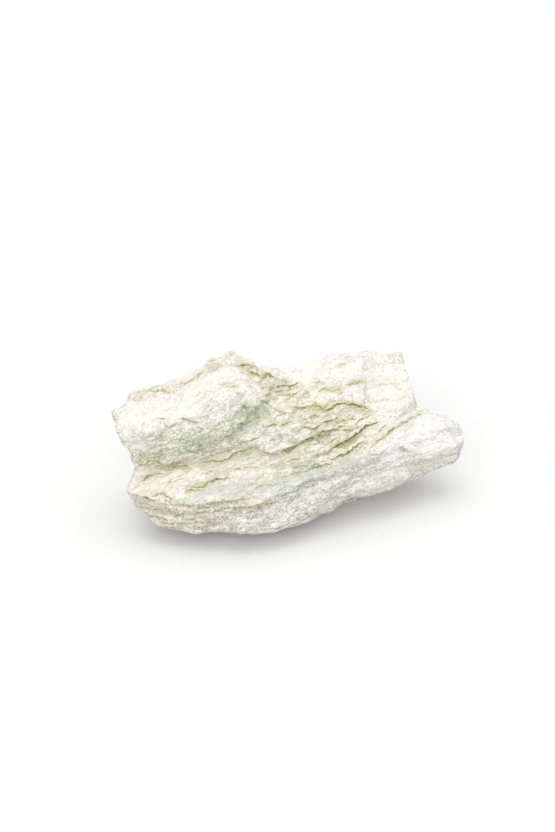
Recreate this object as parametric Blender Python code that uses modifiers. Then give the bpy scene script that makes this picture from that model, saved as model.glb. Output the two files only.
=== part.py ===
"""Raw fuchsite: one broken chunk of pale, layered mica schist, lying on a flat cleavage face.

The stone is blocked out with its mica beds level, as it would lie if nothing had tipped it: a thick slab,
a taller block on its left half, a lobe at its right end and a few thin beds whose broken edges make the
ledges between them. The blocks are fused into one body, which is then worn and chipped, tipped and folded
the way the beds lie, and cut flat where it rests.

Plan outlines are in millimetres, x to the right, y to the back; s is the height across the beds.
"""

import bmesh
import bpy
import numpy as np
from mathutils import Vector, noise

MM = 0.001

# Overall size of the finished stone.
LENGTH = 92 * MM
DEPTH = 51 * MM
HEIGHT = 37 * MM

# How the beds lie: they rise to the back, arch gently over a fold that runs front to back, and are raised
# over the resting plane.
BED_RISE = 0.36
FOLD_AT = -5.0
FOLD_RADIUS = 250.0
RAISED = 3.5

# Heights across the beds.
ROOT_S = -14.0
KEEL_S = 2.5
WAIST_S = 10.2
GROOVE_S = 17.6
LIP_S = 19.0

# The underside: how high its edge hangs, how much higher at the right end and how much it wavers, and how
# deep the keel under it is, drawn in by a share of the way towards a place under the stone's weight, most
# of it just under the edge.
EDGE_HEIGHT = 4.3
EDGE_RISE = 3.5
EDGE_WAVER = 0.8
RIGHT_END = 44.0
KEEL_DEPTH = 3.8
KEEL_DRAW = 0.34
KEEL_AT = (-1.0, 2.0)
KEEL_CURVE = 0.7

# Fineness of the fused body, and of the surface before the resting face is cut.
GRAIN = 0.55
FACES = 12400

# Three plan sections through the slab, from the left tip along the front, the right end and the back.
SLAB_RIM = [
    (-40.6, -14.6, 17.2), (-36, -17.6, 17.6), (-25, -20, 17.6), (-16, -21, 17.6), (-7, -20, 17.4),
    (3.5, -15.5, 17.0), (13.6, -10.6, 16.6), (21.3, -4.6, 16.0), (29, 2.4, 14.8), (37, 6.6, 14.4),
    (46, 9.6, 13.2), (45.4, 14, 13.2), (34.5, 15, 15.6), (30, 23.6, 17.6), (20, 24.4, 17.6),
    (6, 19.4, 17.2), (-8, 17.4, 17.2), (-22, 12, 17.8), (-34, 6, 17.6), (-37.4, -2, 17.4),
]
SLAB_WAIST = [
    (-37, -13), (-33, -18), (-22, -22.4), (-12, -24.2), (-3, -22.2),
    (4, -18.6), (11, -14.2), (18, -9.2), (27.5, -4.4), (36.5, 0.8),
    (44, 5.6), (43.6, 14.5), (34, 16.5), (31, 25), (20, 26.4),
    (5, 23.4), (-9, 20.6), (-22, 15), (-32, 8), (-35, -2),
]
SLAB_ROOT = [
    (-30, -6), (-27, -14), (-20, -19), (-11, -21), (-2, -19),
    (4, -15), (10, -11), (17, -6.5), (25, -2), (31, 2),
    (35, 9), (36, 15), (32, 17), (28, 24), (18, 25),
    (4, 22), (-9, 19), (-21, 13), (-29, 7), (-30, -1),
]

# The left block, at the lip over the groove and at its top, and the rim along its back.
BLOCK_LIP = [
    (-38, -8.9), (-30, -9.6), (-22, -9), (-16, -7.4), (-9.5, -5.7), (-3, -2),
    (-1, 5), (-4, 12), (-10, 17.5), (-22, 11.5), (-33, 6), (-38.5, -1),
]
BLOCK_TOP = [
    (-43.4, -5.5, 26.4), (-35, -8.5, 26.9), (-28.5, -5.5, 27.2), (-20, -3.5, 27.2),
    (-14, 0, 27.0), (-11.5, 4.5, 26.6), (-10, 9, 26.4), (-9, 13, 26.0),
    (-13.5, 15.2, 27.2), (-21, 11.5, 26.4), (-36, 5.2, 26.0), (-45.2, 1.2, 26.7),
]
RIM = [
    (-39.8, 2.4, 27.6), (-31, 3.4, 28.0), (-23.6, 6.0, 28.2), (-20.5, 9.0, 28.4), (-17.0, 10.6, 28.7),
    (-12.0, 10.6, 28.6), (-8.6, 13, 27.2), (-13.4, 15.5, 28.8), (-20, 12, 28.8), (-24, 8.8, 28.4),
    (-31, 6.2, 28.0), (-39.8, 4.8, 27.6),
]

# The lobe at the right end: its front leans back from its foot to a level top.
LOBE_FOOT = [
    (17, -8.4), (23.5, -6.2), (29.5, -3.2), (36.5, 0.9), (44.2, 5.2), (45.8, 9.5), (45.2, 13.5),
    (38, 15), (31, 9.5), (22, 2),
]
LOBE_TOP = [
    (20, -4.2, 16.0), (24.4, -2.2, 15.9), (29.6, 0.6, 15.8), (36.6, 4.8, 15.0), (43.0, 8.0, 13.9),
    (44.6, 10.8, 14.2), (42.2, 12.8, 15.0), (36, 13.4, 16.2), (30.4, 8.0, 16.6), (24.6, 1.6, 16.4),
]

# Thin beds left standing on the slab: each broken edge is a ledge. (bottom, outline with its heights)
BEDS = {
    "lower_step": (14, [
        (-7, -9.4, 17.6), (2, -10.4, 17.4), (9.5, -8.6, 17.3), (14.9, -4.9, 17.2),
        (18.7, -2.6, 17.2), (22.6, 0.4, 17.2), (26.4, 4.6, 17.2), (29, 8, 17.2), (25, 12, 17.2),
        (-6, 0, 17.6),
    ]),
    "middle_step": (14, [
        (2, -8.2, 18.3), (8, -7.0, 18.3), (11, -6.0, 18.3), (14.9, -2.4, 18.3), (18.7, 0.5, 18.2),
        (23.3, 4.8, 18.2), (26, 8, 18.2), (18, 12, 18.2), (-2, 0, 18.4),
    ]),
    "upper_step": (15, [
        (-12, -5, 19.4), (-8.5, -5.2, 19.4), (-5, -7.6, 19.6), (-1, -7.2, 19.8), (3.3, -4.9, 19.6),
        (9.7, -1.6, 19.5), (15, 3.2, 19.4), (17, 8, 19.4), (12, 14, 19.4), (0, 16, 20.0),
        (-10, 8, 20.4),
    ]),
    "bulge": (16, [
        (-12, -4.6, 21.0), (-7, -5.4, 21.2), (-2, -4.8, 21.4), (2.5, -3.4, 21.0), (5.5, -0.5, 20.8),
        (6, 4, 20.8), (2, 8, 21.4), (-12, 9, 23.0),
    ]),
    "knuckle": (18, [
        (2.5, -1, 20.6), (6.4, -1.8, 20.6), (8.5, 0.2, 20.6), (13, 2.3, 20.4), (14, 5.5, 20.4),
        (9, 7, 20.4), (1, 5, 20.6),
    ]),
    "back_bed": (16, [
        (-12, 7, 22.0), (-5, 5.2, 21.4), (0, 7.0, 21.0), (3.3, 6.2, 21.0), (8.5, 5.6, 21.0),
        (12.3, 7.8, 20.8), (16.2, 8.4, 20.8), (19.5, 7.3, 20.8), (21, 10, 20.6), (20.5, 18, 20.6),
        (21, 22.8, 20.6), (12, 21.4, 20.8), (4, 18.2, 20.8), (-4, 16.6, 21.0), (-10, 16.5, 22.0),
    ]),
    "cap_bed": (18, [
        (-14, 10.5, 25.5), (-9.5, 9.8, 24.6), (-6.5, 9.8, 23.4), (-3.8, 12.2, 22.2), (1.5, 12.8, 21.8),
        (4.6, 11.0, 21.9), (8.2, 12.2, 22.0), (13.5, 12.4, 21.9), (17.5, 14.8, 21.8),
        (20.4, 14.0, 21.6), (21.5, 19, 21.6), (20.5, 23.0, 21.9), (12, 22.2, 22.6), (4, 18.6, 22.3),
        (-3, 15.4, 21.8), (-12, 15, 25.5),
    ]),
    "right_bed": (14, [
        (19, 6.2, 18.8), (24, 5.2, 18.3), (29.4, 8.4, 17.9), (34.4, 12.8, 17.8), (33.4, 19, 20.0),
        (30.8, 25.2, 20.7), (20, 25.6, 20.6), (17, 16, 19.6),
    ]),
}

# Hollows broken out of the surface: place (x, y, s), radius, depth.
HOLLOWS = [
    ((-18.5, -6.5, 24.8), 5.5, 1.6),
    ((-10.3, -1.5, 24.6), 2.6, 1.6),
    ((-0.5, 10, 20.4), 3.4, 1.2),
    ((-8.5, 14.6, 22.5), 2.4, 1.2),
    ((30.3, -0.5, 13.8), 2.4, 1.0),
    ((3.6, -15.6, 12.4), 2.2, 0.9),
]

# Wear: ragged broken edges, broad lumps, small chips, and beds that stand out or weather back. (size, depth)
RAGGED = (5.0, 0.9)
LUMPS = (11.0, 1.1)
CHIPS = (3.2, 0.5)
BED_THICKNESS = 2.1
BED_EDGE = 0.25
BED_RELIEF = 1.5


def clear_scene():
    for obj in list(bpy.data.objects):
        bpy.data.objects.remove(obj)


def resting_bed(x, y):
    """Height, in millimetres, that the tipped and folded bed through s = 0 has over a plan point."""
    return BED_RISE * y - (x - FOLD_AT) ** 2 / (2 * FOLD_RADIUS)


def offset(outline, distance):
    """The outline moved inwards by a distance, each corner along the mean of its two edges' normals."""
    points = np.array([p[:2] for p in outline], float)
    edges = np.roll(points, -1, axis=0) - points
    normals = np.stack([-edges[:, 1], edges[:, 0]], axis=1)
    normals /= np.linalg.norm(normals, axis=1)[:, None]
    corners = normals + np.roll(normals, 1, axis=0)
    corners /= np.linalg.norm(corners, axis=1)[:, None]
    return points + distance * corners


def between(low, high, share):
    """The outline that lies this share of the way from one outline to another with as many corners."""
    first = np.array([p[:2] for p in low], float)
    second = np.array([p[:2] for p in high], float)
    return first + share * (second - first)


def ring(outline, s):
    """Corners of an outline as points at one height, or at a height for each corner."""
    corners = zip(outline, np.broadcast_to(s, len(outline)), strict=True)
    return [Vector((*corner[:2], height)) for corner, height in corners]


def tops(outline):
    """The height that an outline gives for each of its corners."""
    return np.array([p[2] for p in outline])


def loft(name, rings):
    """A closed block through rings of points, bottom to top, that all have as many corners."""
    mesh = bmesh.new()
    loops = [[mesh.verts.new(p) for p in points] for points in rings]
    mesh.faces.new(reversed(loops[0]))
    for low, high in zip(loops, loops[1:], strict=False):
        for i in range(len(low)):
            j = (i + 1) % len(low)
            mesh.faces.new((low[i], low[j], high[j], high[i]))
    mesh.faces.new(loops[-1])
    bmesh.ops.recalc_face_normals(mesh, faces=mesh.faces)
    data = bpy.data.meshes.new(name)
    mesh.to_mesh(data)
    mesh.free()
    block = bpy.data.objects.new(name, data)
    bpy.context.scene.collection.objects.link(block)
    return block


def slab():
    top = tops(SLAB_RIM)
    return loft("slab", [
        ring(SLAB_ROOT, ROOT_S),
        ring(offset(SLAB_WAIST, 3.2), KEEL_S),
        ring(SLAB_WAIST, WAIST_S),
        ring(between(SLAB_WAIST, SLAB_RIM, 0.6), top - 3.4),
        ring(SLAB_RIM, top - 0.9),
        ring(offset(SLAB_RIM, 0.8), top),
    ])


def left_block():
    top = tops(BLOCK_TOP)
    bulge = between(BLOCK_LIP, BLOCK_TOP, 0.55)
    return loft("left_block", [
        ring(offset(BLOCK_LIP, 2.6), GROOVE_S - 3),
        ring(offset(BLOCK_LIP, 2.2), GROOVE_S + 0.3),
        ring(BLOCK_LIP, LIP_S),
        ring(offset(bulge, -1.3), 0.45 * LIP_S + 0.55 * top),
        ring(BLOCK_TOP, top),
        ring(offset(BLOCK_TOP, 2.4), top + 0.9),
    ])


def rim():
    top = tops(RIM)
    return loft("rim", [
        ring(offset(RIM, 0.2), top - 4),
        ring(RIM, top - 0.8),
        ring(offset(RIM, 0.5), top),
    ])


def lobe():
    top = tops(LOBE_TOP)
    return loft("lobe", [
        ring(offset(LOBE_FOOT, 1.2), 0.5 * WAIST_S),
        ring(LOBE_FOOT, WAIST_S - 1.2),
        ring(between(LOBE_FOOT, LOBE_TOP, 0.5), 0.4 * WAIST_S + 0.6 * top),
        ring(LOBE_TOP, top),
        ring(offset(LOBE_TOP, 1.0), top + 0.3),
    ])


def thin_bed(name, bottom, outline):
    top = tops(outline)
    return loft(name, [
        ring(offset(outline, 1.0), bottom),
        ring(offset(outline, 0.5), top - 1.4),
        ring(outline, top - 0.6),
        ring(offset(outline, 0.3), top),
    ])


def fused(blocks):
    """One body made of all the blocks, with an even mesh."""
    whole = bmesh.new()
    for block in blocks:
        whole.from_mesh(block.data)
        bpy.data.objects.remove(block)
    data = bpy.data.meshes.new("fuchsite_chunk")
    whole.to_mesh(data)
    whole.free()
    body = bpy.data.objects.new("fuchsite_chunk", data)
    bpy.context.scene.collection.objects.link(body)
    remesh = body.modifiers.new("fuse", "REMESH")
    remesh.mode = "VOXEL"
    remesh.voxel_size = GRAIN
    soften = body.modifiers.new("soften", "SMOOTH")
    soften.factor = 0.5
    soften.iterations = 1
    bake(body)
    return body


def bake(body):
    """The body's modifiers applied."""
    graph = bpy.context.evaluated_depsgraph_get()
    data = bpy.data.meshes.new_from_object(body.evaluated_get(graph))
    body.modifiers.clear()
    body.data = data


def drop_crumbs(body):
    """Whatever the fusing left loose beside the one body removed."""
    mesh = bmesh.new()
    mesh.from_mesh(body.data)
    waiting = set(mesh.verts)
    shells = []
    while waiting:
        shell = {waiting.pop()}
        edge = set(shell)
        while edge:
            edge = {e.other_vert(v) for v in edge for e in v.link_edges} - shell
            shell |= edge
        waiting -= shell
        shells.append(shell)
    whole = max(shells, key=len)
    crumbs = [v for v in mesh.verts if v not in whole]
    bmesh.ops.delete(mesh, geom=crumbs, context="VERTS")
    mesh.to_mesh(body.data)
    mesh.free()


def points_and_normals(body):
    count = len(body.data.vertices)
    points = np.empty(count * 3)
    normals = np.empty(count * 3)
    body.data.vertices.foreach_get("co", points)
    body.data.vertices.foreach_get("normal", normals)
    return points.reshape(-1, 3), normals.reshape(-1, 3)


def set_points(body, points):
    body.data.vertices.foreach_set("co", points.ravel())
    body.data.update()


def noise_at(points, size, shift=0.0):
    """Smooth noise between about -1 and 1, with lumps of this size."""
    scale = 1.0 / np.broadcast_to(size, 3)
    return np.array([noise.noise(Vector(p * scale + shift)) for p in points])


def bed_noise(points):
    """A value for each bed that a point lies in: beds wander a little, and break off along their length."""
    wander = 0.9 * noise_at(points, (14, 14, 20), 31.7) + 0.35 * noise_at(points, 4.5, 5.1)
    level = points[:, 2] / BED_THICKNESS + wander
    lower = np.floor(level)
    blend = np.clip((level - lower) / BED_EDGE, 0, 1)
    reach = np.stack([points[:, 0] / 16, points[:, 1] / 16], axis=1)

    def worth(index):
        return np.array([
            noise.noise(Vector((x, y, 7.31 * k))) for (x, y), k in zip(reach, index, strict=True)
        ])

    return (1 - blend) * worth(lower - 1) + blend * worth(lower)


def wear(body):
    """Ragged edges, lumps, chips, beds that stand proud or weather back, and the hollows."""
    points, normals = points_and_normals(body)
    size, depth = LUMPS
    push = depth * noise_at(points, size, 3.3)
    size, depth = CHIPS
    push += depth * noise_at(points, size, 11.9)
    push += BED_RELIEF * bed_noise(points)
    for place, radius, depth in HOLLOWS:
        distance = np.linalg.norm(points - np.array(place), axis=1)
        push -= depth * np.exp(-((distance / radius) ** 2) * 1.5)
    size, depth = RAGGED
    shift = np.zeros_like(points)
    shift[:, 0] = depth * noise_at(points, size, 41.3)
    shift[:, 1] = depth * noise_at(points, size, 57.7)
    set_points(body, points + shift + normals * push[:, None])


def tip(body):
    """Beds tipped and folded as they lie at rest, at their height over the resting plane."""
    points, _ = points_and_normals(body)
    points[:, 2] += resting_bed(points[:, 0], points[:, 1]) + RAISED
    set_points(body, points)


def undercut(body):
    """The underside drawn in under its edge, so that the stone rests on a keel and its edge hangs clear."""
    points, _ = points_and_normals(body)
    rise = EDGE_RISE * (np.maximum(points[:, 0], 0) / RIGHT_END) ** 2
    edge = EDGE_HEIGHT + rise + EDGE_WAVER * noise_at(points, (9, 9, 50), 71.3)
    sunk = np.clip((edge - points[:, 2]) / KEEL_DEPTH, 0, 1)
    drawn = 1 - KEEL_DRAW * sunk**KEEL_CURVE
    points[:, :2] = KEEL_AT + (points[:, :2] - KEEL_AT) * drawn[:, None]
    set_points(body, points)


def thin_out(body):
    decimate = body.modifiers.new("thin_out", "DECIMATE")
    decimate.ratio = FACES / sum(len(f.vertices) - 2 for f in body.data.polygons)
    decimate.use_collapse_triangulate = True
    bake(body)


def cut_flat(body):
    """Everything under the resting plane cut away, and the cut closed with one flat face."""
    mesh = bmesh.new()
    mesh.from_mesh(body.data)
    parts = mesh.verts[:] + mesh.edges[:] + mesh.faces[:]
    cut = bmesh.ops.bisect_plane(
        mesh, geom=parts, dist=0.05, plane_co=(0, 0, 0), plane_no=(0, 0, 1), clear_inner=True
    )
    edges = [e for e in cut["geom_cut"] if isinstance(e, bmesh.types.BMEdge)]
    for edge in edges:
        for corner in edge.verts:
            corner.co.z = 0.0
    bmesh.ops.holes_fill(mesh, edges=edges)
    bmesh.ops.recalc_face_normals(mesh, faces=mesh.faces)
    mesh.to_mesh(body.data)
    mesh.free()


def bring_to_size(body):
    """Overall size set, with the origin under the middle of the stone on its resting plane."""
    points, _ = points_and_normals(body)
    low, high = points.min(axis=0), points.max(axis=0)
    middle = np.array([(low[0] + high[0]) / 2, (low[1] + high[1]) / 2, 0.0])
    points = (points - middle) * np.array([LENGTH, DEPTH, HEIGHT]) / (high - low)
    set_points(body, points)


def pale_mica_schist():
    material = bpy.data.materials.new("pale_mica_schist")
    material.use_nodes = True
    shader = material.node_tree.nodes["Principled BSDF"]
    shader.inputs["Base Color"].default_value = (0.78, 0.78, 0.69, 1)
    shader.inputs["Roughness"].default_value = 0.6
    shader.inputs["Metallic"].default_value = 0.0
    return material


def main():
    clear_scene()
    blocks = [slab(), left_block(), rim(), lobe()]
    blocks += [thin_bed(name, *bed) for name, bed in BEDS.items()]
    chunk = fused(blocks)
    drop_crumbs(chunk)
    wear(chunk)
    tip(chunk)
    undercut(chunk)
    thin_out(chunk)
    cut_flat(chunk)
    bring_to_size(chunk)
    chunk.data.materials.append(pale_mica_schist())
    home = bpy.data.collections.new("raw_fuchsite")
    bpy.context.scene.collection.children.link(home)
    bpy.context.scene.collection.objects.unlink(chunk)
    home.objects.link(chunk)


main()
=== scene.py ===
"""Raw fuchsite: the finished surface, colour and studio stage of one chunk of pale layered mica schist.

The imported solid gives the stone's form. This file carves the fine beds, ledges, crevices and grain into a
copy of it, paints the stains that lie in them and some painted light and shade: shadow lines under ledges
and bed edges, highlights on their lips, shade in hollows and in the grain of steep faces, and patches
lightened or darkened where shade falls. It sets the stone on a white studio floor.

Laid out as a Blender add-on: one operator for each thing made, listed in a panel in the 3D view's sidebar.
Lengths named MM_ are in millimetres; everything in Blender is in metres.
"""

import itertools
import math
from types import SimpleNamespace

import bpy
import numpy as np
from bpy.props import FloatProperty, FloatVectorProperty, IntProperty, PointerProperty
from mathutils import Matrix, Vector
from mathutils.bvhtree import BVHTree
from mathutils.kdtree import KDTree


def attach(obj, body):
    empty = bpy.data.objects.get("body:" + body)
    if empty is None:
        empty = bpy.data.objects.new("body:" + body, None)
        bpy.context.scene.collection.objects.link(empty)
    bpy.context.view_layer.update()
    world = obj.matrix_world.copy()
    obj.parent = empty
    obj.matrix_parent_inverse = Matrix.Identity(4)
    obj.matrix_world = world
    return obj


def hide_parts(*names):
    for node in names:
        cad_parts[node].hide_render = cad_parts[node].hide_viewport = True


bl_info = {
    "name": "Raw Fuchsite",
    "version": (1, 0, 0),
    "blender": (4, 5, 0),
    "location": "View3D > Sidebar > Fuchsite",
    "description": "Carves, colours and stages a chunk of raw fuchsite",
    "category": "Object",
}

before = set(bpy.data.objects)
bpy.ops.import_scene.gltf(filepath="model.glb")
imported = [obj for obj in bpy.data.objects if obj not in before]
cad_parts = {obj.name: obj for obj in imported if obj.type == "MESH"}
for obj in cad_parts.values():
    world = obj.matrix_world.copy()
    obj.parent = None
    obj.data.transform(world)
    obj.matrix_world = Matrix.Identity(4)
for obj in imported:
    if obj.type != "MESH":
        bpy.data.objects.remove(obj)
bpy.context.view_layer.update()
MM = 0.001

PIECE = "raw_fuchsite_stone"
NODE = "fuchsite_chunk"
BODY = "root"

# The picture that the camera takes, in pixels, and the height of its sensor in millimetres.
IMAGE_WIDTH = 555
IMAGE_HEIGHT = 832
SENSOR = 36.0

# How the mica beds lie in the stone, as its solid is built: they rise to the back over a gentle fold. The
# mica in them is drawn out along one direction.
BED_RISE = 0.36
MM_FOLD_AT = -6.15
MM_FOLD_RADIUS = 250.0
DRAWN_OUT = math.radians(33)

# Small bends of the beds, beside the mica and up through the beds: reach, spacing and the noise's seed.
MM_BENDS_BESIDE = ((0.8, (9.0, 5.0, 5.0), 13), (0.25, (1.7, 1.7, 1.7), 14))
MM_BENDS_UP = ((0.7, (14.0, 8.0, 9.0), 11), (0.16, (2.0, 2.0, 2.0), 12))

# Plates of mica, from large to small: their share of the bed relief, and their length along the mica, width
# across it and thickness.
MM_PLATES = ((1.0, (13.0, 5.0, 2.1)), (0.7, (6.5, 2.5, 1.0)), (0.45, (3.2, 1.3, 0.5)))
LEAST_RELIEF = 0.15

# Broken patches on the sides that face back.
HIDDEN_DAMAGE = 0.95
MM_HIDDEN_PATCH = 12.0

# How far a crevice, the ledge over it, the drop under it and its stain reach, and how far the ledge stands
# out as a share of the crevice's depth.
MM_CREVICE_BESIDE = 0.8
MM_LEDGE_UP = 1.2
MM_DROP_DOWN = 1.5
MM_STAIN_REACH = 0.9
LEDGE_SHARE = 0.4

# The resting face holds every point lower than the first height, and the others stay over the second. The
# carving sets in at the third and is full from the fourth on.
MM_ON_BASE = 0.02
MM_OVER_BASE = 0.03
MM_CARVED_FROM = 0.05
MM_CARVED_FULLY = 1.6

# Rounds of smoothing: of the solid's own small steps, of the places that run on smoothly, of the way the
# surface faces, and of the carved surface that fine edges and hollows are measured from.
ROUNDS_START = 8
ROUNDS_SMOOTHED = 120
ROUNDS_FACING = 12
ROUNDS_EDGES = 4

# Ledges and crevices, each along the pixels it passes through: width and depth in mm, stain 0 to 1.
CREVICES = {
    "groove_left": (0.4, 0.52, 0.8, [(141, 465), (150, 462), (158, 462), (165, 466)]),
    "groove_crack": (0.36, 0.68, 0.6, [(168, 466), (178, 466.5), (190, 466.8)]),
    "groove_right": (0.4, 0.52, 0.8, [(200, 463), (212, 461), (224, 461), (233, 455), (240, 451),
                                      (256, 447)]),
    "under_bulge": (0.45, 0.6, 0.7, [(264, 452), (272, 454.5), (281, 453), (290, 450), (297, 445)]),
    "long_ledge": (0.5, 0.9, 1, [(282, 451), (295, 448), (301, 443), (308, 439.5), (317, 437), (325, 433),
                                 (336, 428), (341, 426)]),
    "hook": (0.45, 0.68, 0.9, [(303, 426), (307, 428), (311, 430), (316, 428.5), (320, 424.5)]),
    "over_hook": (0.36, 0.45, 1, [(320, 424), (328, 422), (334, 419), (339, 417)]),
    "second_ledge": (0.36, 0.45, 0.8, [(334, 424.5), (339, 421.5), (345, 419.5)]),
    "middle_ledge": (0.5, 0.83, 1, [(329, 451), (336, 447), (344, 443), (351, 438), (358, 433),
                                    (366, 427), (376, 423.5)]),
    "lower_ledge": (0.42, 0.6, 1, [(333, 459), (345, 454), (352, 450), (357, 446), (363, 442)]),
    "lobe_groove": (0.5, 0.68, 0.5, [(372, 447), (381, 440.5), (390, 431.5), (401, 424), (410, 419),
                                     (420, 415)]),
    "slab_front_left": (0.36, 0.45, 0.8, [(295, 407.5), (304, 408.5), (312, 407.5)]),
    "slab_front": (0.42, 0.52, 1, [(319, 407), (326, 411), (332, 408), (336, 405), (342, 403.5),
                                   (352, 403.5), (359, 406), (367, 408)]),
    "slab_corner": (0.5, 0.36, 0.42, [(359, 409.5), (367, 411)]),
    "pit_row_top": (0.42, 0.45, 1, [(239, 366), (248, 365)]),
    "pit_row": (0.45, 0.5, 1, [(250, 371.5), (257, 373.5), (262, 376), (268, 373.5), (273, 376)]),
    "brown_hollow_edge": (0.4, 0.4, 1, [(273, 387), (282, 386), (290, 386.5), (295, 384)]),
    "brown_hollow_pit": (0.42, 0.35, 0.9, [(289, 398), (293, 394), (297, 392)]),
    "face_pits": (0.45, 0.45, 0.4, [(262, 401), (267, 402), (271, 405)]),
    "dark_pit": (0.9, 0.75, 0.6, [(246, 405), (247, 411)]),
    "dark_pit_right": (0.5, 0.45, 0.3, [(255, 408), (261, 411)]),
    "face_crack": (0.4, 0.45, 0.4, [(182, 419.5), (190, 420.5), (199, 423)]),
    "face_steps": (0.45, 0.45, 0.2, [(163, 424), (169, 428.5), (176, 424)]),
    "green_pits": (0.42, 0.45, 0.1, [(165, 459), (176, 456), (189, 452), (204, 452), (213, 453)]),
    "rim_riser_left": (0.45, 0.22, 0.36, [(144, 390), (153, 391.5), (165, 391)]),
    "rim_riser": (0.45, 0.22, 0.36, [(172, 385), (183, 384), (192, 380), (202, 373)]),
    "rim_riser_top": (0.4, 0.22, 0.36, [(205, 366), (208, 361), (216, 361), (221, 357)]),
    "back_spots": (0.45, 0.22, 0.54, [(315, 381.5), (321, 381.5)]),
    "back_spots_two": (0.4, 0.22, 0.54, [(330, 391), (340, 389.5)]),
    "back_spots_three": (0.4, 0.27, 0.48, [(349, 384.5), (356, 383), (362, 381.5)]),
    "slab_step": (0.45, 0.22, 0.1, [(364, 369), (366, 377), (367, 382), (366, 389), (368, 396)]),
    "lobe_pit": (0.6, 0.5, 0.15, [(402, 447), (405, 451), (408, 455)]),
    "flank_notch": (0.6, 0.52, 0.2, [(299, 494), (302, 499)]),
    "edge_seam": (0.36, 0.52, 0.7, [(209, 504), (219, 502.5), (231, 502.5), (240, 500.5), (249, 498)]),
}

# Fine cracks by place: how strongly each is opened and stained, and the pixels it passes through.
MM_CRACK_WIDTH = 0.36
MM_CRACK_DEPTH = 0.5
CRACK_STAIN = 0.8
CRACKS = {
    "pit_row": [
        (0.9, [(262, 377), (268, 375.5), (275, 377.5)]),
    ],
    "hollow": [
        (0.9, [(277, 391.5), (284, 390)]),
        (0.9, [(284, 396), (291, 392.5)]),
        (0.7, [(275, 396), (281, 395)]),
        (0.7, [(287, 390), (294, 387.5)]),
        (0.8, [(273, 408), (280, 411.5), (287, 413)]),
        (0.6, [(262, 386), (270, 389), (276, 388.5)]),
        (0.6, [(300, 398), (307, 396.5), (312, 394)]),
    ],
    "peak": [
        (0.48, [(240, 381), (246, 380)]),
    ],
    "pale_seam": [
        (0.42, [(221, 385), (230, 386), (238, 385.5)]),
    ],
    "top": [
        (0.3, [(200, 393.5), (213, 391.5)]),
        (0.6, [(154, 419), (160, 419), (166, 417.5)]),
    ],
    "face": [
        (0.9, [(238, 425), (245, 424), (252, 421.5)]),
        (0.9, [(222, 442), (227, 437), (235, 432)]),
        (0.8, [(254, 419), (261, 417.5)]),
    ],
    "middle": [
        (1, [(267, 425), (276, 424.5)]),
        (1, [(281, 426), (290, 422.5)]),
        (0.7, [(274, 418), (284, 413), (292, 412)]),
        (0.7, [(264, 396), (270, 393)]),
    ],
    "over_groove": [
        (0.9, [(238, 443), (248, 441), (256, 438)]),
        (0.6, [(205, 457), (216, 455), (226, 450)]),
    ],
    "back": [
        (0.3, [(327, 368), (333, 368)]),
        (0.54, [(339, 366), (344, 364)]),
        (0.42, [(339, 373), (343, 371)]),
        (0.48, [(318, 391), (325, 389), (333, 387)]),
        (0.36, [(296, 372), (304, 370)]),
        (0.36, [(300, 395), (308, 393)]),
    ],
    "right_side": [
        (0.36, [(378, 384.5), (389, 384)]),
        (0.3, [(380, 401), (390, 400)]),
        (0.24, [(376, 393), (384, 391)]),
    ],
    "stair": [
        (0.9, [(341, 428.5), (349, 430)]),
        (1, [(350, 417.5), (354, 418)]),
        (0.8, [(306, 419), (314, 416), (322, 415)]),
        (0.7, [(324, 415), (333, 413)]),
        (0.8, [(322, 446), (330, 442), (338, 437)]),
        (0.7, [(310, 445), (318, 442)]),
        (0.7, [(352, 426), (360, 420), (368, 416)]),
        (0.7, [(372, 436), (380, 431), (386, 425)]),
    ],
    "bulge": [
        (0.5, [(272, 440), (280, 436), (288, 434)]),
        (0.5, [(270, 433), (277, 430)]),
    ],
    "tread": [
        (1, [(143, 480), (148, 477), (155, 474.5), (167, 472)]),
        (0.5, [(132, 489), (137, 486), (143, 484)]),
        (1, [(186, 492), (192, 489.5), (201, 489.5)]),
        (1, [(194, 486.5), (202, 487), (207, 482.5), (215, 480), (226, 478.5)]),
        (0.7, [(244, 459), (253, 457.5)]),
        (0.7, [(230, 471), (243, 468), (256, 468)]),
        (0.8, [(314, 455.5), (320, 454)]),
        (0.8, [(314, 465), (319, 464)]),
        (0.6, [(286, 463), (296, 459)]),
        (0.7, [(254, 489.5), (262, 485.5), (268, 484), (277, 484)]),
        (0.5, [(280, 478), (292, 474), (302, 472)]),
        (0.5, [(160, 485), (172, 482), (182, 479)]),
        (0.5, [(205, 472), (216, 470)]),
    ],
    "edge": [
        (0.8, [(306, 471), (317, 466.5), (330, 463)]),
    ],
    "flank": [
        (0.9, [(223, 508), (243, 507.5), (258, 506), (272, 502)]),
        (0.9, [(177, 516), (185, 513.5), (195, 513.5)]),
        (0.8, [(195, 520), (202, 519)]),
        (0.9, [(163, 523), (178, 523.5), (185, 523)]),
        (0.8, [(166, 526), (175, 528), (183, 529)]),
        (0.8, [(250, 512), (262, 506), (276, 502)]),
        (0.7, [(280, 497), (294, 491), (312, 485)]),
        (0.8, [(195, 512.5), (211, 511.5), (233, 512)]),
        (0.8, [(183, 518), (192, 519), (203, 522), (214, 522)]),
        (0.7, [(150, 515), (158, 518.5), (170, 520)]),
        (0.7, [(172, 503), (184, 506), (200, 507.5), (212, 506.5)]),
    ],
    "left_end": [
        (1, [(150, 497), (157, 494.5), (163, 494), (171, 498)]),
        (1, [(138, 506.5), (146, 507), (155, 509.5), (162, 512)]),
        (0.6, [(168, 509), (171, 513)]),
        (1, [(131, 494), (142, 497), (156, 500)]),
    ],
    "lobe": [
        (0.42, [(424, 471), (431, 466), (437, 462)]),
        (0.3, [(378, 462), (388, 458)]),
        (0.24, [(430, 432), (442, 430)]),
    ],
}
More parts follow.
